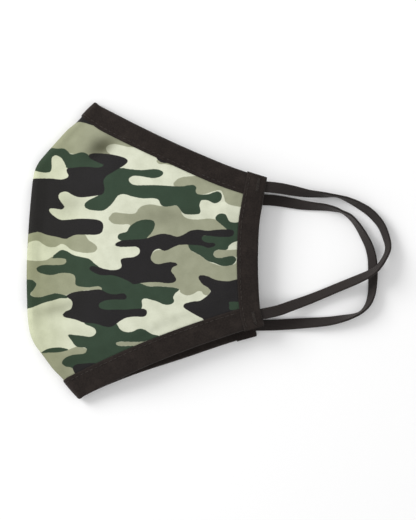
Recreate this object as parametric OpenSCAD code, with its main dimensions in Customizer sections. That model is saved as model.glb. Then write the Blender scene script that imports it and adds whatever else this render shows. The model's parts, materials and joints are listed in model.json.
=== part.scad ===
// Fitted fabric face mask, folded flat and lying on its side.
// X runs from the front fold to the ear loops, Y from the chin to the nose, Z up from the table.
// The far half lies on the table; the near half lies over it and hinges on the front fold.

/* [Fabric] */
// Thickness of the outer shell fabric
shell_t = 0.9; // [0.7:0.1:1.1]
// Thickness of the lining fabric
lining_t = 0.5; // [0.4:0.1:0.7]
// Height of the mouth between the two halves at the ear side
mouth = 4.6; // [4.4:0.1:8]
// Extra height of the near half at its middle
crown = 2.2; // [0:0.1:5]

/* [Binding] */
// Width of the nose, chin and side bindings
binding_w = 10.2; // [8:0.1:12]
// Thickness of one layer of binding tape
binding_t = 0.5; // [0.3:0.1:0.6]
// Width of a stitch row
stitch_w = 0.8; // [0.5:0.1:1.2]
// Height of a stitch row above the tape
stitch_h = 0.2; // [0.1:0.05:0.2]

/* [Ear loops] */
// Width of the flat elastic
elastic_w = 5.5; // [4:0.1:5.6]
// Thickness of the flat elastic
elastic_t = 1.1; // [0.8:0.1:1.2]

/* [Hidden] */

// The four edges of one half, seen from above.
front = [
    [-34, -73.5], [-43, -63], [-52.5, -50.5], [-57, -44], [-59, -36], [-59.7, -22], [-59.7, -6],
    [-58.8, 12], [-57.6, 27], [-56.6, 36], [-55, 41.6], [-50.5, 47.5], [-33.5, 66], [-26, 73.5]
];
nose = [[-26, 73.5], [-2.5, 61.3], [15, 53], [30.2, 46.4], [41, 42], [50, 38.9], [59.5, 36]];
chin = [[-34, -73.5], [-19, -66], [1.2, -56.6], [23, -48], [44, -40.8], [58, -36.8]];
side = [[58, -36.8], [56.2, -29], [55.4, -20], [55, -5], [55.6, 12], [57.4, 24], [59.5, 36]];

// Levels of the cloth stack, and the gap between the halves at the front fold.
air = 0.13;           // left between neighbouring layers
stack = 2 * binding_t + lining_t + shell_t + 3 * air;
fold_gap = 0.4;
near_base = stack + fold_gap;
hem = 0.6;            // how far the fabric stops inside the binding's fold
rise_share = 0.36;    // share of the way to the ears over which the near half rises
slip = [-3.4, -5.2];  // how far the far half has slipped at the lower ear corner
slip_turn = 1.8;
slip_share = 0.7;
thread_lift = 0.08;   // a stitch row's height above the tape that it lies on
lining_low = binding_t + air;
shell_low = lining_low + lining_t + air;

// Routes of the elastics, laid by hand: [x, y, z, tilt of the band in degrees].
near_route = [
    [59.1, 31.8, 9.2, 0], [65, 31.2, 8.6, 8], [72, 30, 6.6, 25], [80, 28.6, 4.2, 52],
    [88, 28, 3, 70], [94.5, 27.4, 2.9, 86], [100, 25.6, 2.9, 72], [106, 22.6, 2.7, 58],
    [111.5, 18.8, 2.6, 50], [116.5, 13, 2.7, 54], [119.2, 6.5, 2.8, 60], [120, 1.5, 3.6, 68],
    [118.4, -3, 5.2, 74], [115, -7.8, 6.9, 70], [111, -11, 7.4, 58], [104.5, -14.2, 5.6, 45],
    [96.5, -17.6, 3.2, 42], [88, -21.2, 2.4, 40], [80, -24.4, 2.6, 34], [72, -27.2, 4.8, 22],
    [65, -29.6, 7.6, 8], [57.1, -31.8, 9.2, 0]
];
far_route = [
    [57.4, 25.6, 1.4, 0], [64, 25.2, 1.3, 8], [71.5, 24, 1.9, 22], [77, 23, 2.2, 36],
    [83, 22.3, 2.6, 50], [88.5, 21.8, 2.9, 60], [93.5, 20.8, 3, 72], [97, 19.6, 2.9, 84],
    [101, 17.2, 2.9, 72], [104.4, 13.4, 2.8, 66], [108, 7.6, 2.7, 56], [110.6, 2.2, 2.5, 50],
    [112.1, -3.6, 2.4, 44], [112.5, -10.8, 2.3, 40], [112.3, -17.5, 2.5, 48], [111.6, -22.4, 2.8, 58],
    [109.8, -27, 2.9, 72], [106.5, -30.6, 2.9, 84], [102.5, -32.4, 2.9, 76], [97.4, -33.7, 2.7, 58],
    [90, -35.1, 2.3, 42], [80, -35.9, 1.8, 28], [70, -36.6, 1.3, 10], [62, -37, 1.3, 3],
    [53.6, -37.2, 1.4, 0]
];

binding_colour = [0.19, 0.17, 0.16];
print_colour = [0.36, 0.4, 0.32];
lining_colour = [0.14, 0.14, 0.14];
thread_colour = [0.11, 0.1, 0.1];
elastic_colour = [0.15, 0.14, 0.13];

// Soft step from 0 to 1.
function ease(t) = let (s = min(1, max(0, t))) s * s * (3 - 2 * s);

// Length of a path up to its point i, and the point at share t of its whole length.
function reach(path, i) = i == 0 ? 0 : reach(path, i - 1) + norm(path[i] - path[i - 1]);
function leg(path, d, i = 1) = i == len(path) - 1 || reach(path, i) >= d ? i : leg(path, d, i + 1);
function along(path, t) =
    let (d = t * reach(path, len(path) - 1), i = leg(path, d), a = reach(path, i - 1))
    path[i - 1] + (path[i] - path[i - 1]) * (d - a) / (reach(path, i) - a);

// The point of a half at share u from the front edge to the side edge and v from chin to nose.
function flat(u, v) =
    (1 - u) * along(front, v) + u * along(side, v) + (1 - v) * along(chin, u) + v * along(nose, u)
    - (1 - u) * (1 - v) * front[0] - u * (1 - v) * side[0]
    - (1 - u) * v * nose[0] - u * v * nose[len(nose) - 1];
function slipped(u, v) = flat(u, v) + ease(u / slip_share) * (slip + [slip_turn * v, 0]);
function lift(u, v) = mouth * ease(u / rise_share) + crown * 16 * u * (1 - u) * v * (1 - v) * ease(u / rise_share);

// A point of the near half (is_near) or the far half, h above the bottom of its cloth stack.
function cloth(is_near, u, v, h) =
    is_near ? concat(flat(u, v), near_base + lift(u, v) + h) : concat(slipped(u, v), stack - h);

// Shares of a half that a width in millimetres covers, along v and along u.
function v_share(u, w) = w * 1.08 / norm(flat(u, 1) - flat(u, 0));
function u_share(v, w) = w / norm(flat(1, v) - flat(0, v));

// A closed solid through rings of points; each ring's first half faces its second half, reversed.
module loft(rings) {
    n = len(rings[0]);
    last = (len(rings) - 1) * n;
    walls = [
        for (r = [0:len(rings) - 2], i = [0:n - 1])
        let (j = (i + 1) % n, a = r * n)
        each [[a + i, a + n + i, a + n + j], [a + i, a + n + j, a + j]]
    ];
    start = [for (i = [0:n / 2 - 2]) each [[i, i + 1, n - 2 - i], [i, n - 2 - i, n - 1 - i]]];
    end = [for (f = start) [last + f[2], last + f[1], last + f[0]]];
    polyhedron([for (ring = rings) each ring], concat(walls, start, end));
}

// A plate of cloth between levels low and high, over one half up to its hem.
module plate(is_near, low, high) {
    rows = 12;
    columns = 24;
    margin = 0.006;
    us = [for (i = [0:columns]) margin + (1 - 2 * margin) * i / columns];
    loft([
        for (u = us)
        let (edge = v_share(u, hem), vs = [for (j = [0:rows]) edge + (1 - 2 * edge) * j / rows])
        concat(
            [for (v = vs) cloth(is_near, u, v, high)],
            [for (j = [rows:-1:0]) cloth(is_near, u, vs[j], low)]
        )
    ]);
}

// A tape folded over an edge: at each station, place(q, h) is q in from the edge and h up the stack.
module channel(stations, width) {
    loft([
        for (s = stations) [
            for (p = [
                [width, stack], [0, stack], [0, 0], [width, 0],
                [width, binding_t], [hem - 0.1, binding_t], [hem - 0.1, stack - binding_t],
                [width, stack - binding_t]
            ]) edge_point(s, p[0], p[1])
        ]
    ]);
}

// A station is [half, edge, share along the edge]; edges are 0 nose, 1 chin and 2 side.
function edge_point(s, q, h) =
    s[1] == 2 ? cloth(s[0], 1 - u_share(s[2], q), s[2], h)
    : let (v = v_share(s[2], q)) cloth(s[0], s[2], s[1] == 0 ? 1 - v : v, h);
function stations(is_near, edge, from, to, steps) =
    [for (i = [0:steps]) [is_near, edge, from + (to - from) * i / steps]];

// The nose and chin bindings stop at the side binding, which is sewn last.
tape_end = 1 - binding_w / 86 - 0.004;

module edge_binding(is_near, edge) color(binding_colour)
    channel(stations(is_near, edge, 0.004, tape_end, 22), binding_w);
module side_binding(is_near) color(binding_colour)
    channel(stations(is_near, 2, 0, 1, 10), binding_w);

// A strip of thread on a binding's upper tape, from near_q to far_q in from the edge.
module thread(is_near, edge, from, to, near_q, far_q) color(thread_colour) {
    low = is_near ? stack + thread_lift : -thread_lift;
    high = is_near ? low + stitch_h : low - stitch_h;
    loft([
        for (s = stations(is_near, edge, from, to, 20))
        [for (p = [[far_q, high], [near_q, high], [near_q, low], [far_q, low]]) edge_point(s, p[0], p[1])]
    ]);
}

// A row of stitches along the inner edge of a binding.
row_q = binding_w - 1.2;
module stitch_row(is_near, edge, from, to) thread(is_near, edge, from, to, row_q - stitch_w, row_q);

// A dense bar of stitches that holds one end of an elastic in the side binding.
module bartack(is_near, from, to) thread(is_near, 2, from, to, 3, 4.6);

// A flat elastic swept along its route, eight-sided and turned by the tilt at each point.
module elastic(route) color(elastic_colour) {
    last = len(route) - 1;
    a = elastic_w / 2;
    b = elastic_t / 2;
    c = 0.3;
    outline = [
        [a - c, b], [-a + c, b], [-a, b - c], [-a, -b + c],
        [-a + c, -b], [a - c, -b], [a, -b + c], [a, b - c]
    ];
    loft([
        for (i = [0:last])
        let (
            p = route[i],
            ahead = route[min(i + 1, last)] - route[max(i - 1, 0)],
            run = [ahead[0], ahead[1], 0] / norm([ahead[0], ahead[1]]),
            across = [-run[1], run[0], 0],
            wide = i == 0 || i == last ? [0, 1, 0] * sign(across[1])
                : across * cos(p[3]) + [0, 0, sin(p[3])],
            thick = cross(i == 0 || i == last ? [1, 0, 0] * sign(run[0]) : run, wide)
        )
        [for (q = outline) [p[0], p[1], p[2]] + wide * q[0] + thick * q[1]]
    ]);
}

module near_outer_shell() color(print_colour) plate(true, shell_low, shell_low + shell_t);
module far_outer_shell() color(print_colour) plate(false, shell_low, shell_low + shell_t);
module near_lining() color(lining_colour) plate(true, lining_low, lining_low + lining_t);
module far_lining() color(lining_colour) plate(false, lining_low, lining_low + lining_t);

near_outer_shell();
far_outer_shell();
near_lining();
far_lining();
edge_binding(true, 0);  // near_nose_binding
edge_binding(false, 0);  // far_nose_binding
edge_binding(true, 1);  // near_chin_binding
edge_binding(false, 1);  // far_chin_binding
side_binding(true);  // near_side_binding
side_binding(false);  // far_side_binding
stitch_row(true, 0, 0.03, tape_end);  // near_nose_stitching
stitch_row(false, 0, 0.03, tape_end);  // far_nose_stitching
stitch_row(true, 1, 0.03, tape_end);  // near_chin_stitching
stitch_row(false, 1, 0.03, tape_end);  // far_chin_stitching
stitch_row(true, 2, 0.02, 0.98);  // near_side_stitching
stitch_row(false, 2, 0.02, 0.98);  // far_side_stitching
bartack(true, 0.9, 0.97);  // near_upper_bartack
bartack(true, 0.03, 0.1);  // near_lower_bartack
bartack(false, 0.9, 0.97);  // far_upper_bartack
bartack(false, 0.03, 0.1);  // far_lower_bartack
elastic(near_route);  // near_ear_loop
elastic(far_route);  // far_ear_loop
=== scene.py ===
"""Camo face mask, folded in half and lying on its side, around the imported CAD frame.

Lengths are in millimetres up to the point where a mesh is made. The cloth is laid out on two shares:
u runs from the front fold (0) to the side edge (1), v from the chin edge (0) to the nose edge (1).
"""
import json
import math

import bmesh
import bpy
import numpy as np
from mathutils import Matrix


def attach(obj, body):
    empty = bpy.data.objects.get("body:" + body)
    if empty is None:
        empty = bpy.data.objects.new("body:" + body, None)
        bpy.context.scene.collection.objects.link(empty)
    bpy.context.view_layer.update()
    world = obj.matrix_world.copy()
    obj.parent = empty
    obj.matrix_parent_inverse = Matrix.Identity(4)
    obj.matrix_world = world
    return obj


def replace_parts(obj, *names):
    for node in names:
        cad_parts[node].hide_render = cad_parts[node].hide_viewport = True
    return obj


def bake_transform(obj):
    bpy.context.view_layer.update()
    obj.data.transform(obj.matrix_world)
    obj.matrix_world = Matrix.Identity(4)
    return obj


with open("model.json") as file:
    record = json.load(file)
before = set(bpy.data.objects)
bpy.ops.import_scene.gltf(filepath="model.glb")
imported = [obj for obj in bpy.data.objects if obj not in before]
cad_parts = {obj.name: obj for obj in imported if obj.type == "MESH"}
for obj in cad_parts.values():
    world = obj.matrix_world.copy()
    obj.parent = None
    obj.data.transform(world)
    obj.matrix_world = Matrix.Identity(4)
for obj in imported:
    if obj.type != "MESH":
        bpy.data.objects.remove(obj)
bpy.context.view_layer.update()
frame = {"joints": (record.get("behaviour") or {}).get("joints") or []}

MM = 0.001
NEAR, FAR = "near_half", "far_half"
joint = next(j for j in frame["joints"] if j["name"] == "front_fold")
MID = joint["pos_m"][2] / MM     # level where the two halves meet at the front fold

# ---------------------------------------------------------------- camera
PIXEL_SCALE = 0.5                # mm of table across one unit of the 416 x 520 view
view_height = 520 * PIXEL_SCALE * MM
camera_far = 1.1
cam = bpy.data.cameras.new("camera")
cam.sensor_width = 36
cam.lens = cam.sensor_width * camera_far / view_height
cam.clip_start, cam.clip_end = 0.01, 20
camera = bpy.data.objects.new("camera", cam)
camera.location = (0.0302, -0.0045, camera_far)
bpy.context.scene.collection.objects.link(camera)
bpy.context.scene.camera = camera

# ---------------------------------------------------------------- outlines, as in the CAD source
FRONT = [
    (-34, -73.5), (-43, -63), (-52.5, -50.5), (-57, -44), (-59, -36), (-59.7, -22), (-59.7, -6),
    (-58.8, 12), (-57.6, 27), (-56.6, 36), (-55, 41.6), (-50.5, 47.5), (-33.5, 66), (-26, 73.5),
]
NOSE = [(-26, 73.5), (-2.5, 61.3), (15, 53), (30.2, 46.4), (41, 42), (50, 38.9), (59.5, 36)]
CHIN = [(-34, -73.5), (-19, -66), (1.2, -56.6), (23, -48), (44, -40.8), (58, -36.8)]
SIDE = [(58, -36.8), (56.2, -29), (55.4, -20), (55, -5), (55.6, 12), (57.4, 24), (59.5, 36)]

# Levels above the inner face of a half's cloth stack, and the soft shape of the halves.
MOUTH, CROWN, RISE = 4.6, 2.2, 0.36
SLIP, SLIP_TURN, SLIP_SHARE = (-3.4, -5.2), 1.8, 0.7
INNER_TAPE, LINING, SHELL, OUTER_TAPE = 0.2, 0.75, 2.35, 3.0
BINDING = 10.2
WRAP_IN = 2.7                    # the fold's round starts this far in from the outline
ACROSS = 108.0                   # rough distance from front edge to side edge
WRAP_U = WRAP_IN / ACROSS
TURN_SHARE = 0.62                # share of u over which a half takes up the whole turn of the fold


def spline(points, per=14):
    """A smooth line through points, as many steps as per between two of them."""
    p = np.array(points, float)
    p = np.vstack([2 * p[0] - p[1], p, 2 * p[-1] - p[-2]])
    t = np.arange(per)[:, None] / per
    runs = [
        0.5 * (2 * b + (c - a) * t + (2 * a - 5 * b + 4 * c - d) * t**2 + (3 * b - a - 3 * c + d) * t**3)
        for a, b, c, d in zip(p, p[1:], p[2:], p[3:])
    ]
    return np.vstack(runs + [p[-2:-1]])


def closed_spline(points, per=5):
    """A smooth closed line through points."""
    p = np.array(points, float)
    a, b, c, d = (np.roll(p, k, axis=0)[:, None] for k in (1, 0, -1, -2))
    t = (np.arange(per) / per)[None, :, None]
    line = 0.5 * (2 * b + (c - a) * t + (2 * a - 5 * b + 4 * c - d) * t**2 + (3 * b - a - 3 * c + d) * t**3)
    return line.reshape(-1, 2)


def measured(line):
    return np.concatenate([[0], np.cumsum(np.linalg.norm(np.diff(line, axis=0), axis=1))])


def edge(points):
    """The point of an edge at each share of its length."""
    line = spline(points)
    at = measured(line) / measured(line)[-1]
    return lambda t: np.stack([np.interp(t, at, line[:, k]) for k in range(2)], axis=-1)


front, nose, chin, side = edge(FRONT), edge(NOSE), edge(CHIN), edge(SIDE)


def ease(t):
    t = np.clip(t, 0, 1)
    return t * t * (3 - 2 * t)


def flat(u, v):
    """The near half's point at shares u and v, seen from above. It carries on straight past an edge."""
    u, v = np.broadcast_arrays(np.asarray(u, float), np.asarray(v, float))
    cu, cv = np.clip(u, 0, 1), np.clip(v, 0, 1)
    a, b = cu[..., None], cv[..., None]
    corners = (1 - a) * (1 - b) * front(0) + a * (1 - b) * side(0) + (1 - a) * b * nose(0) + a * b * nose(1)
    inside = (1 - a) * front(cv) + a * side(cv) + (1 - b) * chin(cu) + b * nose(cu) - corners
    beyond_v = (v - cv)[..., None] * (nose(cu) - chin(cu))
    beyond_u = (u - cu)[..., None] * (side(cv) - front(cv))
    return inside + beyond_v + beyond_u


def v_share(u, width):
    across = np.linalg.norm(nose(np.clip(u, 0, 1)) - chin(np.clip(u, 0, 1)), axis=-1)
    return width * 1.08 / across


def u_share(v, width):
    across = np.linalg.norm(side(np.clip(v, 0, 1)) - front(np.clip(v, 0, 1)), axis=-1)
    return width / across


def lift(u, v):
    crown = CROWN * 16 * u * (1 - u) * v * (1 - v) * ease(u / RISE)
    return MOUTH * ease(u / RISE) + np.maximum(crown, 0)


def outward(v):
    """The level direction out of the front edge."""
    step = 0.01
    along = front(np.clip(v + step, 0, 1)) - front(np.clip(v - step, 0, 1))
    along /= np.linalg.norm(along, axis=-1, keepdims=True)
    return np.stack([-along[..., 1], along[..., 0]], axis=-1)


def place(track, v, level):
    """Points of the cloth, and the share of the near half's turn that each takes.

    track runs over the whole mask: 1 + u on the near half, -1 - u on the far half, and from -1 to 1
    round the front fold. level is the height in the stack, from the halves' meeting plane.
    """
    track, v, level = np.broadcast_arrays(*(np.asarray(x, float) for x in (track, v, level)))
    which = np.where(track >= 0, 1.0, -1.0)
    wraps = np.abs(track) < 1
    u = np.where(wraps, WRAP_U, np.abs(track) - 1)
    angle = np.clip(track, -1, 1) * math.pi / 2
    xy = flat(u, v)
    slip = np.stack([SLIP[0] + SLIP_TURN * v, np.full_like(v, SLIP[1])], axis=-1)
    xy = xy + np.where(which < 0, ease(u / SLIP_SHARE), 0)[..., None] * slip
    xy = xy + outward(v) * (level * np.cos(angle) * wraps)[..., None]
    z = MID + level * np.where(wraps, np.sin(angle), which) + np.where(which > 0, lift(u, v), 0)
    turn = 0.5 + 0.5 * which * ease((u - WRAP_U) / TURN_SHARE) * ~wraps
    return np.concatenate([xy, z[..., None]], axis=-1), turn


# ---------------------------------------------------------------- mesh helpers
def make(name, points, faces, material):
    mesh = bpy.data.meshes.new(name)
    mesh.from_pydata((np.asarray(points).reshape(-1, 3) * MM).tolist(), [], [tuple(f) for f in faces])
    mesh.update()
    mesh.polygons.foreach_set("use_smooth", [True] * len(mesh.polygons))
    obj = bpy.data.objects.new(name, mesh)
    obj.data.materials.append(material)
    bpy.context.scene.collection.objects.link(obj)
    return obj


def grid_faces(rows, columns, around=False):
    """Quads of a grid, closed along its columns if around."""
    last = columns if around else columns - 1
    i, j = np.meshgrid(np.arange(rows - 1), np.arange(last), indexing="ij")
    k = (j + 1) % columns
    corners = [i * columns + j, i * columns + k, (i + 1) * columns + k, (i + 1) * columns + j]
    return np.stack(corners, -1).reshape(-1, 4)


def strip_cap(n, first, flip):
    """Quads across a closed ring whose second half runs back along its first."""
    faces = [(first + i, first + i + 1, first + n - 2 - i, first + n - 1 - i) for i in range(n // 2 - 1)]
    return [f[::-1] for f in faces] if flip else faces


def keep_numbers(obj, name, values):
    """Stores a number or a vector at each point of obj."""
    values = np.asarray(values, np.float32)
    vector = values.ndim > 1 and values.shape[-1] == 3
    kind, field = ("FLOAT_VECTOR", "vector") if vector else ("FLOAT", "value")
    obj.data.attributes.new(name, kind, "POINT").data.foreach_set(field, values.ravel())


def bend(obj):
    """Bakes the piece's placement into its mesh."""
    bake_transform(obj)


def outward_normals(obj):
    bm = bmesh.new()
    bm.from_mesh(obj.data)
    bmesh.ops.recalc_face_normals(bm, faces=bm.faces)
    bm.to_mesh(obj.data)
    bm.free()


# ---------------------------------------------------------------- materials
class Nodes:
    """Short calls for building one material's nodes."""

    def __init__(self, name):
        self.material = bpy.data.materials.new(name)
        self.material.use_nodes = True
        self.tree = self.material.node_tree
        self.shader = self.tree.nodes["Principled BSDF"]

    def put(self, socket, value):
        if isinstance(value, bpy.types.NodeSocket):
            self.tree.links.new(value, socket)
        else:
            socket.default_value = value

    def math(self, operation, a, b=0.0, c=0.0):
        node = self.tree.nodes.new("ShaderNodeMath")
        node.operation = operation
        for socket, value in zip(node.inputs, (a, b, c)):
            self.put(socket, value)
        return node.outputs[0]

    def attribute(self, name):
        node = self.tree.nodes.new("ShaderNodeAttribute")
        node.attribute_name = name
        return node

    def split(self, vector):
        node = self.tree.nodes.new("ShaderNodeSeparateXYZ")
        self.put(node.inputs[0], vector)
        return node.outputs

    def noise(self, vector, scale, detail=2.0):
        node = self.tree.nodes.new("ShaderNodeTexNoise")
        self.put(node.inputs["Vector"], vector)
        node.inputs["Scale"].default_value = scale
        node.inputs["Detail"].default_value = detail
        return node.outputs["Fac"]

    def ramp(self, value, low, high, to_low=0.0, to_high=1.0):
        node = self.tree.nodes.new("ShaderNodeMapRange")
        node.interpolation_type = "SMOOTHSTEP"
        for socket, item in zip(node.inputs, (value, low, high, to_low, to_high)):
            self.put(socket, item)
        return node.outputs[0]

    def mix(self, share, a, b, blend="MIX"):
        node = self.tree.nodes.new("ShaderNodeMix")
        node.data_type = "RGBA"
        node.blend_type = blend
        for name, value in (("Factor_Float", share), ("A_Color", a), ("B_Color", b)):
            socket = next(s for s in node.inputs if s.identifier == name)
            self.put(socket, value)
        return next(s for s in node.outputs if s.identifier == "Result_Color")

    def bump(self, height, distance, strength=1.0):
        node = self.tree.nodes.new("ShaderNodeBump")
        node.inputs["Strength"].default_value = strength
        node.inputs["Distance"].default_value = distance
        self.put(node.inputs["Height"], height)
        self.put(self.shader.inputs["Normal"], node.outputs[0])

    def surface(self, roughness, sheen, tint):
        self.shader.inputs["Roughness"].default_value = roughness
        self.shader.inputs["Specular IOR Level"].default_value = 0.12
        self.shader.inputs["Sheen Weight"].default_value = sheen
        self.shader.inputs["Sheen Roughness"].default_value = 0.5
        self.shader.inputs["Sheen Tint"].default_value = tint


def linear(r, g, b):
    """A colour given as 0 to 255 levels, as a shader takes it."""
    return tuple(((c / 255 + 0.055) / 1.055) ** 2.4 for c in (r, g, b)) + (1.0,)


PALE, KHAKI = linear(217, 220, 199), linear(157, 159, 135)
GREEN, BLACK = linear(49, 67, 52), linear(30, 28, 31)
TAPE = linear(42, 36, 33)
EDGE_SOFT = 0.16                 # half the width over which two inks meet, in mm


def waves(n, coordinate, pitch):
    """A smooth ripple from -1 to 1 with that pitch in mm."""
    return n.math("SINE", n.math("MULTIPLY", coordinate, 2 * math.pi / pitch))


def knit_height(n, across, along, wale=0.55, course=0.42):
    """Little bumps in rows, with the pitch of the wales and of the courses in mm."""
    wales = n.math("ABSOLUTE", waves(n, across, wale * 2))
    courses = n.math("ABSOLUTE", waves(n, along, course * 2))
    return n.math("MULTIPLY", wales, courses)


def camo_material():
    n = Nodes("camo_knit")
    cloth = n.attribute("cloth_mm").outputs["Vector"]
    x, y, _ = n.split(cloth)
    wobble = n.math("MULTIPLY", n.math("SUBTRACT", n.noise(cloth, 0.9, 3.0), 0.5), 0.35)
    colour = PALE
    for name, ink in (("ink_khaki", KHAKI), ("ink_green", GREEN), ("ink_black", BLACK)):
        depth = n.math("ADD", n.attribute(name).outputs["Fac"], wobble)
        share = n.ramp(depth, -EDGE_SOFT, EDGE_SOFT, 1.0, 0.0)
        colour = n.mix(share, colour, ink)
    mottle = n.ramp(n.noise(cloth, 0.16, 4.0), 0.3, 0.7, 0.0, 0.16)
    colour = n.mix(mottle, colour, linear(150, 152, 128), "MULTIPLY")
    # painted shade: the cloth colour is darker towards the front fold
    shade = n.ramp(n.math("MULTIPLY_ADD", n.noise(cloth, 0.07, 2.0), 14.0, x), -56, -10, 0.75, 0.0)
    colour = n.mix(shade, colour, linear(222, 224, 204), "MULTIPLY")
    # painted shade in the hollows of the near half
    colour = n.mix(n.attribute("hollow_shade").outputs["Fac"], colour, linear(140, 139, 129), "MULTIPLY")
    grain = n.ramp(n.noise(cloth, 2.4, 2.0), 0.25, 0.75, 0.0, 0.13)
    colour = n.mix(grain, colour, linear(92, 92, 84))
    n.put(n.shader.inputs["Base Color"], colour)
    height = n.math("MULTIPLY_ADD", n.noise(cloth, 3.5, 3.0), 0.7, knit_height(n, x, y))
    n.bump(height, 0.00006, 0.55)
    n.surface(0.8, 0.02, (0.9, 0.95, 0.9, 1))
    return n.material


def tape_material(name, colour, dark, rib=0.62):
    """Knit tape: fine ribs across its length, with a heather of lighter and darker yarn."""
    n = Nodes(name)
    tape = n.attribute("tape_mm").outputs["Vector"]
    along, across, _ = n.split(tape)
    heather = n.ramp(n.noise(tape, 1.7, 4.0), 0.28, 0.72)
    yarn = n.mix(heather, dark, colour)
    ribs = n.math("ABSOLUTE", waves(n, along, rib * 2))
    loops = n.math("ABSOLUTE", waves(n, across, 0.9))
    worn = n.ramp(n.noise(tape, 0.22, 3.0), 0.4, 0.8, 0.0, 0.22)
    yarn = n.mix(worn, yarn, linear(64, 56, 51))
    n.put(n.shader.inputs["Base Color"], yarn)
    knit = n.math("MULTIPLY", ribs, n.math("ADD", loops, 0.4))
    height = n.math("MULTIPLY_ADD", n.noise(tape, 3.0, 3.0), 0.8, knit)
    n.bump(height, 0.00012, 0.7)
    n.surface(0.9, 0.1, (0.75, 0.7, 0.66, 1))
    return n.material


def elastic_material():
    """Braided elastic: rubber cores as ribs along it, crossed by slanting yarn."""
    n = Nodes("flat_elastic")
    along, across, _ = n.split(n.attribute("tape_mm").outputs["Vector"])
    cords = n.math("ABSOLUTE", waves(n, across, 1.4))
    slant = n.math("ABSOLUTE", waves(n, n.math("MULTIPLY_ADD", n.math("ABSOLUTE", across), 0.8, along), 1.3))
    height = n.math("ADD", cords, n.math("MULTIPLY", slant, 0.5))
    # painted shade: the colour is darker in the grooves between the cords and lighter on their tops
    shade = n.ramp(height, 0.1, 1.3)
    n.put(n.shader.inputs["Base Color"], n.mix(shade, linear(28, 25, 24), linear(45, 40, 38)))
    n.bump(height, 0.00014, 0.7)
    n.surface(0.8, 0.2, (0.7, 0.66, 0.64, 1))
    return n.material


def lining_material():
    n = Nodes("lining_knit")
    cloth = n.attribute("cloth_mm").outputs["Vector"]
    x, y, _ = n.split(cloth)
    shade = n.ramp(n.noise(cloth, 1.2, 4.0), 0.3, 0.7)
    n.put(n.shader.inputs["Base Color"], n.mix(shade, linear(30, 30, 31), linear(46, 46, 48)))
    height = n.math("MULTIPLY_ADD", n.noise(cloth, 3.0, 2.0), 0.6, knit_height(n, x, y, 0.7, 0.55))
    n.bump(height, 0.0001, 0.7)
    n.surface(0.9, 0.3, (0.8, 0.8, 0.82, 1))
    return n.material


def thread_material():
    n = Nodes("sewing_thread")
    coords = n.tree.nodes.new("ShaderNodeTexCoord").outputs["Object"]
    shade = n.ramp(n.noise(coords, 2200, 2.0), 0.3, 0.7)
    n.put(n.shader.inputs["Base Color"], n.mix(shade, linear(30, 26, 24), linear(60, 54, 49)))
    n.bump(n.noise(coords, 4000, 1.0), 0.00004, 0.5)
    n.surface(0.55, 0.1, (0.8, 0.8, 0.8, 1))
    return n.material


CAMO, LINING_KNIT, THREADS = camo_material(), lining_material(), thread_material()
BINDING_TAPE = tape_material("binding_tape", TAPE, linear(29, 24, 22))
ELASTIC_BAND = elastic_material()

# ---------------------------------------------------------------- ear loops
# The routes of the CAD source, with their ends tucked 1.5 mm further into the side bindings:
# x, y, z and the tilt of the band in degrees.
ELASTIC_W, ELASTIC_T = 5.5, 1.1
NEAR_ROUTE = [
    (57.6, 31.9, 9.2, 0), (65, 31.2, 8.6, 8), (72, 30, 6.6, 25), (80, 28.6, 4.2, 52),
    (88, 28, 3, 70), (94.5, 27.4, 2.9, 86), (100, 25.6, 2.9, 72), (106, 22.6, 2.7, 58),
    (111.5, 18.8, 2.6, 50), (116.5, 13, 2.7, 54), (119.2, 6.5, 2.8, 60), (120, 1.5, 3.6, 68),
    (118.4, -3, 5.2, 74), (115, -7.8, 6.9, 70), (111, -11, 7.4, 58), (104.5, -14.2, 5.6, 45),
    (96.5, -17.6, 3.2, 42), (88, -21.2, 2.4, 40), (80, -24.4, 2.6, 34), (72, -27.2, 4.8, 22),
    (65, -29.6, 7.6, 8), (55.6, -31.6, 9.2, 0),
]
FAR_ROUTE = [
    (55.9, 25.7, 1.4, 0), (64, 25.2, 1.3, 8), (71.5, 24, 1.9, 22), (77, 23, 2.2, 36),
    (83, 22.3, 2.6, 50), (88.5, 21.8, 2.9, 60), (93.5, 20.8, 3, 72), (97, 19.6, 2.9, 84),
    (101, 17.2, 2.9, 72), (104.4, 13.4, 2.8, 66), (108, 7.6, 2.7, 56), (110.6, 2.2, 2.5, 50),
    (112.1, -3.6, 2.4, 44), (112.5, -10.8, 2.3, 40), (112.3, -17.5, 2.5, 48), (111.6, -22.4, 2.8, 58),
    (109.8, -27, 2.9, 72), (106.5, -30.6, 2.9, 84), (102.5, -32.4, 2.9, 76), (97.4, -33.7, 2.7, 58),
    (90, -35.1, 2.3, 42), (80, -35.9, 1.8, 28), (70, -36.6, 1.3, 10), (62, -37, 1.3, 3),
    (52.1, -37.1, 1.4, 0),
]


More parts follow.
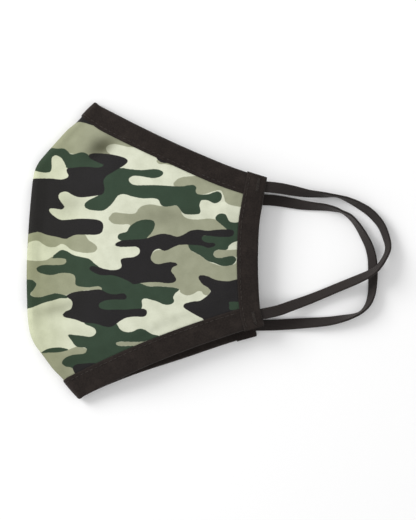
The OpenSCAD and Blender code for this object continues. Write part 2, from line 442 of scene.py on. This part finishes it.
def ear_loop(name, route, body):
    line = spline(route, per=7)
    at, tilt = line[:, :3], np.radians(line[:, 3])
    ahead = np.gradient(at, axis=0)
    ahead /= np.linalg.norm(ahead, axis=1, keepdims=True)
    level = np.cross([0, 0, 1], ahead)
    level /= np.linalg.norm(level, axis=1, keepdims=True)
    up = np.cross(ahead, level)
    wide = level * np.cos(tilt)[:, None] + up * np.sin(tilt)[:, None]
    thick = np.cross(ahead, wide)
    a, b, round_by = ELASTIC_W / 2, ELASTIC_T / 2, 0.4
    steps = np.linspace(0, math.pi / 2, 4)
    corner = np.stack([a - round_by + round_by * np.cos(steps), b - round_by + round_by * np.sin(steps)], 1)
    top = np.stack([np.linspace(a - round_by, round_by - a, 13)[1:-1], np.full(11, b)], 1)
    half = np.vstack([corner, top, corner[::-1] * (-1, 1)])
    ring = np.vstack([half, -half])
    points = at[:, None] + wide[:, None] * ring[None, :, :1] + thick[:, None] * ring[None, :, 1:]
    count = len(ring)
    faces = [list(f) for f in grid_faces(len(at), count, around=True)]
    faces += [list(range(count))[::-1], list(range((len(at) - 1) * count, len(at) * count))]
    obj = make(name, points, faces, ELASTIC_BAND)
    outward_normals(obj)
    run = measured(at)
    tape = np.stack(np.broadcast_arrays(run[:, None], ring[None, :, 0], ring[None, :, 1]), -1)
    keep_numbers(obj, "tape_mm", tape)
    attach(obj, body)
    return obj


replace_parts(ear_loop("near_ear_loop_band", NEAR_ROUTE, NEAR), "near_ear_loop")
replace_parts(ear_loop("far_ear_loop_band", FAR_ROUTE, FAR), "far_ear_loop")

# ---------------------------------------------------------------- the print
# Outlines of the inks, laid on the near half, to half a millimetre. Black lies over green,
# green over khaki, khaki over the pale ground; a cut takes ink away where a lower colour shows through.
KHAKI_INK = [
    [(-52, 50), (-36, 67), (-24, 66), (-12, 58), (-4, 52), (-9, 51.5), (-16, 53), (-20, 52), (-20, 49.5),
     (-17, 46), (-30, 46.5), (-38, 48.5), (-44, 50), (-52, 49.5)],
    [(13.5, 32), (14.5, 35), (17.5, 36.5), (22.5, 37), (30, 37.5), (40, 36), (49, 33), (49, 22.5),
     (42.5, 22.5), (39, 24), (38, 27), (36.5, 30), (33, 29.5), (28, 28), (22, 28)],
    [(-19, 16), (-18, 17.5), (-16, 19), (-11, 18.5), (-6, 18.5), (-4, 21), (-1.5, 22.5), (2.5, 23), (8, 22),
     (14.5, 22.5), (16.5, 20.5), (17.5, 18), (20, 16), (25, 15.5), (30, 16), (34, 15.5), (37, 13.5),
     (39.5, 10.5), (32, 8), (20, 6), (5, 5), (-2, 5), (-7, 9), (-8.5, 13), (-12.5, 13), (-16.5, 13.5),
     (-18.5, 15)],
    [(-62, 10), (-50, 10), (-40, 9), (-32, 9), (-30.5, 8), (-29, 5.5), (-26, 3.5), (-24.5, 1.5),
     (-26, -0.5), (-30, -1), (-34, -0.5), (-37.5, 0.5), (-40, 2.5), (-42.5, 3.5), (-45.5, 2), (-49, 2),
     (-52, 3.5), (-54, 5), (-56.5, 5), (-58.5, 3.5), (-59, 1), (-63, 0)],
    [(-63, -5), (-55, -5), (-50, -4.5), (-46, -2.5), (-38, -3), (-34, -10), (-33, -15), (-24, -17),
     (-21.5, -19), (-24, -19.5), (-30, -19.5), (-38, -21), (-40.5, -22), (-45, -21), (-48, -21.5),
     (-51.5, -22.5), (-54.5, -23), (-57, -22.5), (-57.5, -21), (-56, -18.5), (-55, -16.5), (-57, -14.5),
     (-59.5, -14), (-63, -13.5)],
    [(2, -3), (4, 0), (9, 1), (14, 3.5), (20.5, 4), (21.5, 0.5), (25, -1.5), (27.5, -3), (30, -5),
     (33.5, -6.5), (37.5, -7.5), (42, -7), (44, -6), (45, -4), (48, -3), (50, -8), (49, -17), (32, -17),
     (31.5, -19.5), (30, -22), (28, -21.5), (27, -20), (25, -20), (22.5, -21.5), (19.5, -22), (16.5, -20.5),
     (16, -19), (12.5, -18), (6, -17.5), (1, -17.5), (-3.5, -16), (0, -13), (2, -8)],
    [(33, -1), (35, 0.5), (40, 0.5), (50, 0.5), (50, -3), (44, -3), (42.5, -2.5), (38.5, -3), (36.5, -3.5),
     (33.5, -3)],
    [(-54, -50), (-49, -49.5), (-42, -49), (-39, -49), (-35, -47.5), (-31.5, -48), (-29.5, -49), (-29, -50),
     (-31, -52), (-36, -53), (-38, -56), (-36, -59), (-36, -62), (-42, -70), (-58, -52)],
    [(-15.5, -46), (-14, -45), (-9, -45), (-2.5, -45), (3, -44), (3, -47), (-7.5, -47), (-13.5, -47)],
    [(5, 45), (6, 43), (9, 43), (13, 42.5), (12, 46)],
]
GREEN_INK = [
    [(-58, 42), (-54.5, 39.5), (-49, 39), (-47.5, 41), (-47.5, 46), (-45.5, 47.5), (-42.5, 46),
     (-40.5, 42.5), (-39.5, 41), (-30.5, 41.5), (-24, 41), (-21, 42.5), (-24, 44), (-28, 46), (-29.5, 48),
     (-32.5, 49), (-37.5, 48), (-40, 50), (-42.5, 51), (-50, 50), (-57, 49)],
    [(-13, 41), (-9, 40.5), (-2.5, 40), (4, 40.5), (7.5, 39.5), (8, 38), (6, 36.5), (2.5, 36), (-3.5, 37),
     (-7, 37), (-9, 35.5), (-8, 33.5), (-5.5, 32.5), (-1, 32.5), (5, 32.5), (13.5, 32), (18, 32),
     (20.5, 32.5), (23.5, 32.5), (24.5, 31), (24, 29.5), (25.5, 28), (30, 28), (33, 29), (35, 29.5),
     (37, 28), (36.5, 25), (33.5, 23.5), (30, 25), (27, 25), (26, 22.5), (26.5, 20), (26, 18.5), (24, 18),
     (20.5, 18), (18, 18.5), (16, 21), (14.5, 22.5), (11, 22), (8, 22), (6.5, 23.5), (6, 25), (3.5, 26),
     (-2.5, 26), (-7.5, 27), (-11, 28), (-14, 27.5), (-16, 25), (-18, 22.5), (-21.5, 20), (-26, 20),
     (-30, 21), (-31, 23), (-29, 25), (-25, 27), (-24, 28), (-24, 34), (-20, 39.5)],
    [(-8.5, 12), (-5, 14.5), (-1, 15.5), (3, 15), (4, 13), (3, 10), (1, 7.5), (-2, 5), (-8, 4.5),
     (-12.5, 5), (-14.5, 6.5), (-13.5, 8.5), (-10, 9.5)],
    [(-47.5, -3.5), (-45, -1), (-42.5, 0.5), (-40, 0), (-36.5, -2), (-32.5, -3), (-28.5, -4), (-25.5, -6.5),
     (-20, -10), (-8, -13), (-3, -16), (1, -17.5), (6, -17.5), (12.5, -18), (16, -19), (14, -21), (13, -23),
     (13.5, -25), (11.5, -26.5), (8.5, -26.5), (5, -25), (1.5, -24), (-1, -23.5), (-2.5, -24.5),
     (-2.5, -28), (-6, -32), (-20, -31), (-26, -26), (-24, -20), (-22, -19), (-24, -17.5), (-29, -18),
     (-34, -17.5), (-35.5, -16.5), (-35.5, -14.5), (-36, -12), (-39, -11), (-43, -11), (-48, -12),
     (-53, -11), (-55, -9.5), (-54.5, -8), (-51.5, -7), (-45, -7), (-41, -6.5), (-40, -5), (-40.5, -4),
     (-44, -3.5)],
    [(-63, -13.5), (-59.5, -14), (-57, -14.5), (-55, -16.5), (-56, -18.5), (-57.5, -21), (-57, -22.5),
     (-54.5, -23), (-51.5, -22.5), (-48, -21.5), (-45, -21), (-40.5, -22), (-37, -22.5), (-40, -23.5),
     (-43, -23.5), (-46.5, -24.5), (-50.5, -25.5), (-54.5, -27), (-59.5, -29), (-63, -29)],
    [(20.5, 4), (21.5, 0.5), (25, -1.5), (27.5, -3), (30, -5), (33.5, -6), (37.5, -7.5), (42, -7), (44, -5),
     (44, -3.5), (42.5, -2.5), (38.5, -3), (36.5, -3.5), (33.5, -3), (33, -1), (35, 0.5), (39.5, 0.5),
     (40.5, 2.5), (42.5, 4), (45, 5), (49, 6), (49, 14), (43.5, 14), (41, 14.5), (40, 16), (39, 18),
     (36.5, 18.5), (34.5, 17.5), (34, 15.5), (38, 12), (39, 10), (30, 8), (24, 6)],
    [(-39.5, -41.5), (-37.5, -41.5), (-32.5, -42), (-28, -42.5), (-25.5, -41), (-25.5, -39), (-27.5, -37.5),
     (-31, -36), (-30, -33), (-18, -34), (-15, -36), (-13.5, -38.5), (-11, -40), (-7.5, -40), (-4, -38.5),
     (-1, -39), (2, -41), (7, -43), (4, -50), (-20, -60), (-34, -61), (-37.5, -58), (-40.5, -57.5),
     (-42.5, -55.5), (-40.5, -53), (-36.5, -51.5), (-31.5, -51), (-30, -49.5), (-30.5, -48), (-35, -47.5),
     (-37.5, -44.5)],
    [(-52, -50), (-49, -48.5), (-45.5, -48), (-42.5, -48), (-39, -49), (-42, -50), (-45, -50.5),
     (-49, -50.5)],
    [(40.5, -25), (45.5, -25), (49, -25.5), (49, -29), (46, -29), (41, -29.5), (40.5, -26.5)],
]
GREEN_CUTS = [8]                 # the khaki outlines that show through green
BLACK_INK = [
    [(-63, 35), (-57, 35.5), (-54, 36), (-48, 36), (-42.5, 35.5), (-39.5, 36.5), (-39, 37.5), (-40, 39.5),
     (-39.5, 41), (-34, 43), (-30, 45.5), (-28.5, 48), (-24, 48.5), (-16, 47.5), (-11, 46), (-9.5, 44.5),
     (-11, 42.5), (-16, 39.5), (-20, 37), (-21.5, 34.5), (-21, 31), (-21.5, 28.5), (-24, 27.5),
     (-32.5, 26.5), (-36.5, 27.5), (-39, 29), (-41, 29.5), (-43.5, 28.5), (-44, 26.5), (-42.5, 24),
     (-41, 22), (-42.5, 20.5), (-45.5, 21), (-48.5, 21), (-48.5, 19.5), (-46.5, 17.5), (-43, 15.5),
     (-39, 15.5), (-32.5, 16), (-25, 15.5), (-22, 14), (-21.5, 11.5), (-22.5, 9), (-25, 8), (-30, 8),
     (-35, 8), (-38, 7), (-40.5, 6), (-45, 7), (-50, 8), (-54.5, 9.5), (-63, 9.5)],
    [(-16, 3), (-13, 5), (-7.5, 5.5), (-1, 6), (3.5, 7.5), (7.5, 8.5), (11.5, 8), (15, 7), (18, 8),
     (21.5, 10), (25.5, 10.5), (30, 10), (35, 10.5), (42, 10.5), (43, 8.5), (41, 7), (35, 7), (30.5, 7.5),
     (28, 7.5), (27, 6), (28.5, 4.5), (31, 4), (33, 4), (34, 3), (32.5, 2), (30, 1.5), (27.5, 2.5),
     (22.5, 3), (16.5, 3), (13.5, 2), (9, 0), (6, 1), (3.5, 0), (2, -3), (2.5, -5), (5, -6.5), (8.5, -6),
     (11.5, -5.5), (14.5, -6), (15, -7), (13, -8), (12, -10), (13.5, -12), (14.5, -14), (13.5, -15.5),
     (10, -16), (6, -15.5), (1, -15.5), (-3.5, -16), (-6.5, -16.5), (-9, -15), (-13.5, -13), (-17.5, -12),
     (-22.5, -12), (-26.5, -10.5), (-28.5, -9), (-27.5, -7.5), (-24, -8), (-20.5, -9), (-16, -9.5),
     (-13, -8.5), (-12.5, -7), (-13, -4.5), (-11, -3.5), (-6.5, -3), (-4, -1.5), (-3.5, 0.5), (-5, 2),
     (-9, 2), (-13.5, 2)],
    [(-40, -22.5), (-38, -21), (-34, -20), (-29, -19.5), (-24, -19), (-22, -19.5), (-19, -21), (-16, -21.5),
     (-11.5, -21), (-10, -22.5), (-11, -24), (-16, -24), (-20.5, -24.5), (-23.5, -26), (-23.5, -28),
     (-20.5, -29), (-16, -29), (-10, -29), (-3.5, -28.5), (-0.5, -29), (0, -31), (-1.5, -32.5), (-6, -32.5),
     (-10, -33), (-13, -34.5), (-15, -36), (-17.5, -37.5), (-20.5, -37.5), (-25.5, -36), (-31.5, -35.5),
     (-35.5, -34), (-40.5, -33), (-42, -32), (-40.5, -30), (-38, -29), (-37, -26.5), (-37.5, -24.5)],
    [(26.5, -12), (30, -12.5), (32, -13.5), (35, -14.5), (40, -15), (49, -15), (50, -32), (40, -37),
     (30, -38), (28, -34), (25.5, -32.5), (19.5, -29), (18, -27.5), (19, -26), (23, -25), (26.5, -24.5),
     (30, -22), (31.5, -20), (31, -19), (30, -18), (27.5, -16.5), (25.5, -13.5)],
    [(-37, -58), (-35.5, -56.5), (-32.5, -56), (-25, -56), (-28, -61), (-34, -63), (-36.5, -60)],
    [(-39, 64), (-37, 63.5), (-32.5, 64), (-25.5, 62.5), (-28, 69), (-35, 70)],
    [(5, 47), (6, 44.5), (8.5, 43.5), (11.5, 43.5), (15, 42.5), (16, 46)],
]
BLACK_CUTS = [0, 8]              # the green outlines that lie over black
INK_REACH = 3.0                  # mm beyond which the distance to an outline isn't needed
INK_LAP = 0.25                   # how far black runs in under the green that lies over it


def outline_depth(points, outline):
    """Signed distance of points from a closed outline, below zero inside."""
    line = closed_spline(outline)
    low, high = line.min(0) - INK_REACH, line.max(0) + INK_REACH
    depth = np.full(len(points), INK_REACH)
    near = np.flatnonzero(((points > low) & (points < high)).all(axis=1))
    p = points[near][:, None]
    a, b = line[None], np.roll(line, -1, axis=0)[None]
    run = b - a
    share = np.clip(((p - a) * run).sum(-1) / (run**2).sum(-1), 0, 1)[..., None]
    distance = np.sqrt(((p - a - share * run) ** 2).sum(-1)).min(axis=1)
    crosses = (a[..., 1] > p[..., 1]) != (b[..., 1] > p[..., 1])
    rise = np.where(np.abs(run[..., 1]) < 1e-9, 1e-9, run[..., 1])
    at = a[..., 0] + (p[..., 1] - a[..., 1]) / rise * run[..., 0]
    inside = (crosses & (p[..., 0] < at)).sum(axis=1) % 2 == 1
    depth[near] = np.minimum(np.where(inside, -distance, distance), INK_REACH)
    return depth


def inks(points):
    """The depth of each ink at points of the print."""
    khaki = [outline_depth(points, outline) for outline in KHAKI_INK]
    green = [outline_depth(points, outline) for outline in GREEN_INK]
    black = [outline_depth(points, outline) for outline in BLACK_INK]
    green_all, black_all = np.min(green, axis=0), np.min(black, axis=0)
    for k in GREEN_CUTS:
        green_all = np.maximum(green_all, -khaki[k])
    for k in BLACK_CUTS:
        black_all = np.maximum(black_all, -green[k] - INK_LAP)
    return np.min(khaki, axis=0), green_all, black_all


# ---------------------------------------------------------------- the cloth's own shape
# Soft folds of the near half: x, y, direction in degrees, half length, half width, height, in mm.
FOLDS = [
    (-21.5, 53, 52, 9, 3.8, -2.1), (-15, 50, 55, 10, 4.5, 0.5), (-33, 58, 50, 12, 6, 0.6),
    (41, 28, 25, 8, 1.6, 0.35), (38, 24.5, 15, 9, 1.5, -0.35), (34, 33, -20, 8, 1.6, 0.3),
    (26, 38, -24, 9, 1.8, -0.25), (42, 16, 4, 7, 1.7, 0.25), (40, -9, -5, 8, 2.0, -0.3),
    (41, -16, 8, 8, 2, 0.25), (42, -24, 20, 7, 1.6, -0.25), (39, 31, 62, 5, 1.2, -0.4),
    (43, 27, 40, 5, 1.1, 0.35), (35, 30, 75, 4, 1.1, 0.3), (-53.5, -12, 90, 34, 1.6, -0.3),
    (-49, -30, 96, 22, 3, 0.3), (-51, 16, 84, 20, 2, -0.25), (-10, -44, 24, 12, 2.6, 0.3),
    (12, -36, 22, 12, 2.4, -0.3), (-40, -52, 40, 9, 3, 0.35), (-4, 44, -24, 12, 2.4, -0.35),
    (10, 2, 80, 26, 12, 0.5),
]
HELD_BACK = 1.5                  # how far inside the bindings' outer edges the cloth ends
MESH_SPAN = 144.0                # mm over which the rows of the cloth meshes are counted
NOSE_LONG, SIDE_LONG = 93.0, 76.0                      # rough lengths of those edges, in mm
TAPE_MID = (INNER_TAPE + OUTER_TAPE) / 2
CLOTH_LOWEST = 0.06              # the cloth's shown faces stay at least this far above the table


def soft_folds(x, y):
    """The height of all the folds together, with a faint ripple between them."""
    height = np.zeros_like(x)
    for cx, cy, turn, long, wide, rise in FOLDS:
        c, s = math.cos(math.radians(turn)), math.sin(math.radians(turn))
        along, across = (x - cx) * c + (y - cy) * s, (y - cy) * c - (x - cx) * s
        height += rise * np.exp(-((along / long) ** 2) - (across / wide) ** 2)
    return height + 0.12 * np.sin(x / 9 + y / 14) * np.sin(y / 11 - x / 23 + 1)


def inner_distance(u, v):
    """How far a point lies inside the bindings' inner edges, in mm."""
    return np.minimum(np.minimum(v, 1 - v) / v_share(u, 1), (1 - u) / u_share(v, 1)) - BINDING


def tracks(step, end=1.0, wraps=13):
    """Places along the whole mask, from the far side edge round the fold to the near one."""
    count = int((end - WRAP_U) * ACROSS / step)
    close = WRAP_U + np.array([0, 0.35, 0.9, 1.6, 2.5]) / ACROSS
    far_on = np.linspace(close[-1], end, count)[1:]
    near = 1 + np.concatenate([close, far_on])
    return np.concatenate([-near[::-1], np.linspace(-1, 1, wraps + 2)[1:-1], near])


def half_u(track):
    return np.where(np.abs(track) < 1, WRAP_U, np.abs(track) - 1)


def cloth_piece(name, step, level, puff, puff_far, fold_share, thickness, material):
    """One layer of cloth over both halves, thickened away from its shown face."""
    rows = np.linspace(0, 1, int(MESH_SPAN / step))
    along, across = np.meshgrid(tracks(step, end=1 - HELD_BACK / NOSE_LONG), rows, indexing="ij")
    u = half_u(along)
    back = v_share(u, HELD_BACK)
    across = back + across * (1 - 2 * back)
    inside = inner_distance(u, across)
    swell = ease(inside / 7) * np.where(along > 0, puff, puff_far)
    plan = flat(u, across)
    open_part = ease((np.abs(along) - 1 - WRAP_U) * ACROSS / 5) * (along > 1)
    folds = soft_folds(plan[..., 0], plan[..., 1]) * ease((inside + 2) / 6) * open_part
    points, turn = place(along, across, level + swell)
    points[..., 2] += folds * fold_share
    points[..., 2] = np.maximum(points[..., 2], CLOTH_LOWEST)
    faces = grid_faces(*along.shape)
    obj = make(name, points, faces[:, ::-1] if level > TAPE_MID else faces, material)
    thick = obj.modifiers.new("thickness", "SOLIDIFY")
    thick.thickness, thick.offset = thickness * MM, -1
    return obj, along, across, turn


# Painted shade where the cloth turns from the light: x, y, slope, half widths in x and y, and depth of the
# shade.
HOLLOWS = [
    (-22, 51.5, 0.4, 7.5, 5.2, 1), (-45, -28.5, 0.25, 13, 3.5, 0.45),
    (8, 17, 0, 14, 4.5, 0.3), (-38, 23, 0.2, 8, 5, 0.35),
]
# The far half's print slides along by up to DRIFT mm, from DRIFT_FROM to DRIFT_OVER further on.
DRIFT, DRIFT_FROM, DRIFT_OVER = 26.0, 2.0, 70.0
FOLD_X = -59.7                   # the far half's knit runs on in x from this line


def hollow_shade_depth(x, y):
    """How far the cloth is in its hollows, for the painted shade in the near half's hollows."""
    total = np.zeros_like(x)
    for cx, cy, slope, half_x, half_y, depth in HOLLOWS:
        across = y - cy - (x - cx) * slope
        total += depth * np.exp(-(((x - cx) / half_x) ** 2) - (across / half_y) ** 2)
    return total


def print_camo(obj, along, across):
    """Stores the depth of each ink, the place in the cloth and the depth of painted hollow shade at each
    point of obj.
    """
    wraps = np.abs(along) < 1
    out = np.sign(along) * (WRAP_IN + (half_u(along) - WRAP_U) * ACROSS)
    out = np.where(wraps, along * WRAP_IN, out)
    beyond = (WRAP_IN - np.minimum(np.abs(out), WRAP_IN)) * wraps
    at = flat(half_u(along), across) + outward(across) * beyond[..., None]
    drift = DRIFT * ease((-out - DRIFT_FROM) / DRIFT_OVER)
    at[..., 1] += np.where(along < 0, drift, 0)
    x, y = at[..., 0].ravel(), at[..., 1].ravel()
    for name, depth in zip(("ink_khaki", "ink_green", "ink_black"), inks(at.reshape(-1, 2))):
        keep_numbers(obj, name, depth)
    # depth of the painted shade in the near half's hollows
    keep_numbers(obj, "hollow_shade", np.where(along.ravel() > 1, hollow_shade_depth(x, y), 0))
    cloth_x = np.where(along.ravel() < 0, 2 * FOLD_X - x, x)
    keep_numbers(obj, "cloth_mm", np.stack([cloth_x, y, np.zeros_like(x)], -1))


shell, along, across, turn = cloth_piece("outer_shell", 0.95, SHELL, 0.9, 0.45, 1.0, 0.7, CAMO)
print_camo(shell, along, across)
bend(shell)
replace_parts(shell, "near_outer_shell", "far_outer_shell")

lining, along, across, turn = cloth_piece("lining", 1.6, LINING, -0.35, -0.35, 0.9, 0.45, LINING_KNIT)
plan = flat(half_u(along), across)
keep_numbers(lining, "cloth_mm", np.concatenate([plan, np.sign(along)[..., None] * 40], axis=-1))
bend(lining)
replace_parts(lining, "near_lining", "far_lining")


# ---------------------------------------------------------------- bindings
TAPE_THICK = 0.5
TAPE_END = 1 - 5 / NOSE_LONG     # the nose and chin tapes end under the side ones
FOLD_RUN = 4.0                   # mm of tape counted from the fold's middle to its end
ELASTIC_AT = {"upper": 0.94, "lower": 0.062}           # where the elastics end, as shares of the side edge
OVER_ENDS = 0.42                 # how much higher a side tape lies over the ends of the others


def tape_ring(width, low, high, thick):
    """A tape folded over an edge, as (q, level) points: its outside, then back along its inside."""
    middle, radius = (low + high) / 2, (high - low) / 2
    turn_by = np.linspace(math.pi / 2, -math.pi / 2, 11)
    fold = np.stack([radius * 0.8 * (1 - np.cos(turn_by)), middle + radius * np.sin(turn_by)], 1)
    run = np.linspace(width, radius * 0.8, 12)[1:-1]
    outer = np.vstack([
        [(width - 0.08, high - thick * 0.5), (width, high - 0.12)],
        np.stack([run, high + 0.1 * np.sin(np.linspace(0, math.pi, len(run)))], 1), fold,
        np.stack([run[::-1], np.full(len(run), low)], 1),
        [(width, low + 0.12), (width - 0.08, low + thick * 0.5)],
    ])
    inner = outer.copy()
    inner[:, 0] = np.maximum(inner[:, 0], thick + 0.1)
    inner[:, 0] = np.minimum(inner[:, 0], width - 0.1)
    inner[:, 1] = np.clip(inner[:, 1], low + thick, high - thick)
    return np.vstack([outer, inner[::-1]])


def binding_v(edge_name, u, q):
    """The share v at q mm in from an edge. The nose binding is a little narrower towards the front."""
    if edge_name == "chin":
        return v_share(u, q)
    narrow = 0.91 - 0.12 * (1 - ease(u / 0.14)) + 0.07 * ease((u - 0.4) / 0.4)
    return 1 - v_share(u, q * narrow)


def over_ends(v):
    """0 along a side tape's middle and 1 where it lies over the nose and chin tapes."""
    return ease((np.abs(v - 0.5) - 0.33) / 0.045)


def edge_binding(edge_name):
    """The nose or chin binding: one tape that runs over both halves, round the front fold."""
    along = tracks(1.6, end=TAPE_END, wraps=11)
    ring = tape_ring(BINDING, INNER_TAPE, OUTER_TAPE, TAPE_THICK)
    t, q = np.meshgrid(along, ring[:, 0], indexing="ij")
    level = np.broadcast_to(ring[:, 1], t.shape)
    u = half_u(t)
    pucker = 0.07 * np.sin(t * ACROSS / 3.1) * np.exp(-(((q - 8.7) / 1.4) ** 2)) * (level > TAPE_MID)
    points, turn = place(t, binding_v(edge_name, u, q), level + pucker)
    points[..., 2] = np.maximum(points[..., 2], 0.05)
    count = ring.shape[0]
    faces = [list(f) for f in grid_faces(len(along), count, around=True)]
    faces += strip_cap(count, 0, False) + strip_cap(count, (len(along) - 1) * count, True)
    obj = make(f"{edge_name}_binding_tape", points, faces, BINDING_TAPE)
    outward_normals(obj)
    run = np.where(np.abs(t) < 1, t * FOLD_RUN, np.sign(t) * (FOLD_RUN + (u - WRAP_U) * ACROSS))
    keep_numbers(obj, "tape_mm", np.stack([run, q * np.where(level > TAPE_MID, 1, -1), level], -1))
    bend(obj)
    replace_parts(obj, f"near_{edge_name}_binding", f"far_{edge_name}_binding")
    return obj


def side_binding(which, body):
    """The side binding of one half, sewn over the ends of the nose and chin bindings."""
    name = "near" if which > 0 else "far"
    ring = tape_ring(BINDING, INNER_TAPE, OUTER_TAPE, TAPE_THICK)
    stations = np.linspace(-0.006, 1.006, 90)
    v, q = np.meshgrid(stations, ring[:, 0], indexing="ij")
    level = np.broadcast_to(ring[:, 1], v.shape)
    elastic = sum(np.exp(-(((v - centre) / 0.035) ** 2)) for centre in ELASTIC_AT.values())
    outer = level > TAPE_MID
    level = level + np.where(outer, OVER_ENDS, -0.35) * over_ends(v)
    level = level + 0.3 * elastic * outer * ease((BINDING - 1 - q) / 4)
    pucker = 0.06 * np.sin(v * SIDE_LONG / 0.9) * np.exp(-(((q - 8.7) / 1.3) ** 2)) * outer
    u = 1 - u_share(v, q)
    points, _ = place(which * (1 + u), v, level + pucker)
    points[..., 2] = np.maximum(points[..., 2], 0.03)
    count = ring.shape[0]
    faces = [list(f) for f in grid_faces(len(stations), count, around=True)]
    faces += strip_cap(count, 0, False) + strip_cap(count, (len(stations) - 1) * count, True)
    obj = make(f"{name}_side_binding_tape", points, faces, BINDING_TAPE)
    outward_normals(obj)
    keep_numbers(obj, "tape_mm", np.stack([v * SIDE_LONG, q * np.where(outer, 1, -1), level], -1))
    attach(obj, body)
    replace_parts(obj, f"{name}_side_binding")
    return obj


bindings = [edge_binding("nose"), edge_binding("chin"), side_binding(1, NEAR), side_binding(-1, FAR)]


# ---------------------------------------------------------------- stitching
STITCH, STITCH_GAP, THREAD_R, ROW_Q = 2.0, 0.7, 0.19, 8.6
ROW_END = 1 - BINDING / 92       # share u at which the nose and chin rows end
ROW_LOWEST = 0.2                 # the middle of a row stays at least this far above the table
THREAD_SIDES = 6
ON_TAPE = OUTER_TAPE + 0.1       # level of a row of stitches
BAR_HALF, BAR_TURNS, BAR_Q = 0.042, 19, (3.0, 4.7)     # half length as a share of v, and its two edges


def threads(name, ends, turns=None):
    """Short lengths of thread between pairs of points, rounded at both ends. If turns are given, their
    placement is baked into the mesh.
    """
    ends = np.asarray(ends, float)
    shares = np.array([0, 0.12, 0.3, 0.7, 0.88, 1])
    size = np.array([0.15, 0.75, 1, 1, 0.75, 0.15]) * THREAD_R
    per_stitch = len(shares) * THREAD_SIDES
    angle = np.arange(THREAD_SIDES) * math.tau / THREAD_SIDES
    run = ends[:, 1] - ends[:, 0]
    run /= np.linalg.norm(run, axis=1, keepdims=True)
    across = np.cross(run, [0, 0, 1])
    across /= np.linalg.norm(across, axis=1, keepdims=True)
    up = np.cross(across, run)
    line = ends[:, None, 0] + shares[None, :, None] * (ends[:, 1] - ends[:, 0])[:, None]
    c, s = np.cos(angle)[None, None, :, None], np.sin(angle)[None, None, :, None]
    ring = across[:, None, None] * c + up[:, None, None] * s
    points = line[:, :, None] + ring * size[None, :, None, None]
    body = grid_faces(len(shares), THREAD_SIDES, around=True)
    cap = np.array([[0, 1, 2, 3], [0, 3, 4, 5]])
    one = np.vstack([body, cap[:, ::-1], cap + per_stitch - THREAD_SIDES])
    faces = (one[None] + np.arange(len(ends))[:, None, None] * per_stitch).reshape(-1, 4)
    obj = make(name, points, faces, THREADS)
    outward_normals(obj)
    if turns is not None:
        bend(obj)
    return obj


def stitches(line, turns):
    """Pairs of ends for a row of stitches along a line of points."""
    run = measured(line)
    starts = np.arange(0.6, run[-1] - STITCH - 0.6, STITCH + STITCH_GAP)
    both = np.stack([starts, starts + STITCH], 1)
    ends = np.stack([np.interp(both, run, line[:, k]) for k in range(3)], -1)
    return ends, np.interp(starts + STITCH / 2, run, turns)


def edge_row(edge_name):
    along = tracks(1.0, end=ROW_END, wraps=15)
    v = binding_v(edge_name, half_u(along), ROW_Q)
    line, turns = place(along, v, ON_TAPE)
    line[:, 2] = np.maximum(line[:, 2], ROW_LOWEST)
    ends, turns = stitches(line, turns)
    obj = threads(f"{edge_name}_stitch_row", ends, turns)
    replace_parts(obj, f"near_{edge_name}_stitching", f"far_{edge_name}_stitching")
    return obj


def side_row(which, body):
    name = "near" if which > 0 else "far"
    v = np.linspace(0.012, 0.988, 160)
    line, turns = place(which * (2 - u_share(v, ROW_Q)), v, ON_TAPE + OVER_ENDS * over_ends(v))
    line[:, 2] = np.maximum(line[:, 2], ROW_LOWEST)
    obj = threads(f"{name}_side_stitch_row", stitches(line, turns)[0])
    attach(obj, body)
    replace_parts(obj, f"{name}_side_stitching")
    return obj


def bartack(which, body, place_name, centre):
    """A zigzag bar across the end of an elastic."""
    name = "near" if which > 0 else "far"
    v = centre + np.linspace(-BAR_HALF, BAR_HALF, BAR_TURNS)
    q = np.where(np.arange(BAR_TURNS) % 2 == 0, *BAR_Q)
    level = ON_TAPE + OVER_ENDS * over_ends(v) + 0.28
    line, _ = place(which * (2 - u_share(v, q)), v, level)
    line[:, 2] = np.maximum(line[:, 2], ROW_LOWEST)
    obj = threads(f"{name}_{place_name}_bartack_thread", np.stack([line[:-1], line[1:]], 1))
    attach(obj, body)
    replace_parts(obj, f"{name}_{place_name}_bartack")
    return obj


rows = [edge_row("nose"), edge_row("chin"), side_row(1, NEAR), side_row(-1, FAR)]
for which, body in ((1, NEAR), (-1, FAR)):
    for place_name, centre in ELASTIC_AT.items():
        rows.append(bartack(which, body, place_name, centre))

# ---------------------------------------------------------------- floor and light
floor_mesh = bpy.data.meshes.new("floor")
FLOOR_HALF = 3.0                 # metres
corners = [(-1, -1), (1, -1), (1, 1), (-1, 1)]
floor_mesh.from_pydata([(x * FLOOR_HALF, y * FLOOR_HALF, 0) for x, y in corners], [], [(0, 1, 2, 3)])
floor = bpy.data.objects.new("floor", floor_mesh)
bpy.context.scene.collection.objects.link(floor)
paper = Nodes("pale_floor")
paper.put(paper.shader.inputs["Base Color"], (0.93, 0.93, 0.93, 1))
paper.shader.inputs["Roughness"].default_value = 0.9
floor_mesh.materials.append(paper.material)


def area_light(name, place_at, size, power):
    """A square light turned towards the origin."""
    light = bpy.data.lights.new(name, "AREA")
    light.size, light.energy = size, power
    obj = bpy.data.objects.new(name, light)
    obj.location = place_at
    obj.rotation_euler = (-obj.location).to_track_quat("-Z", "Y").to_euler()
    bpy.context.scene.collection.objects.link(obj)


area_light("soft_key", (-1.0, 0.65, 0.75), 0.7, 15)
area_light("soft_fill", (0.9, -0.5, 1.3), 1.2, 3)
world = bpy.data.worlds.new("studio")
world.use_nodes = True
world.node_tree.nodes["Background"].inputs["Color"].default_value = (1, 1, 1, 1)
world.node_tree.nodes["Background"].inputs["Strength"].default_value = 0.68
bpy.context.scene.world = world
bpy.context.scene.view_settings.view_transform = "Standard"
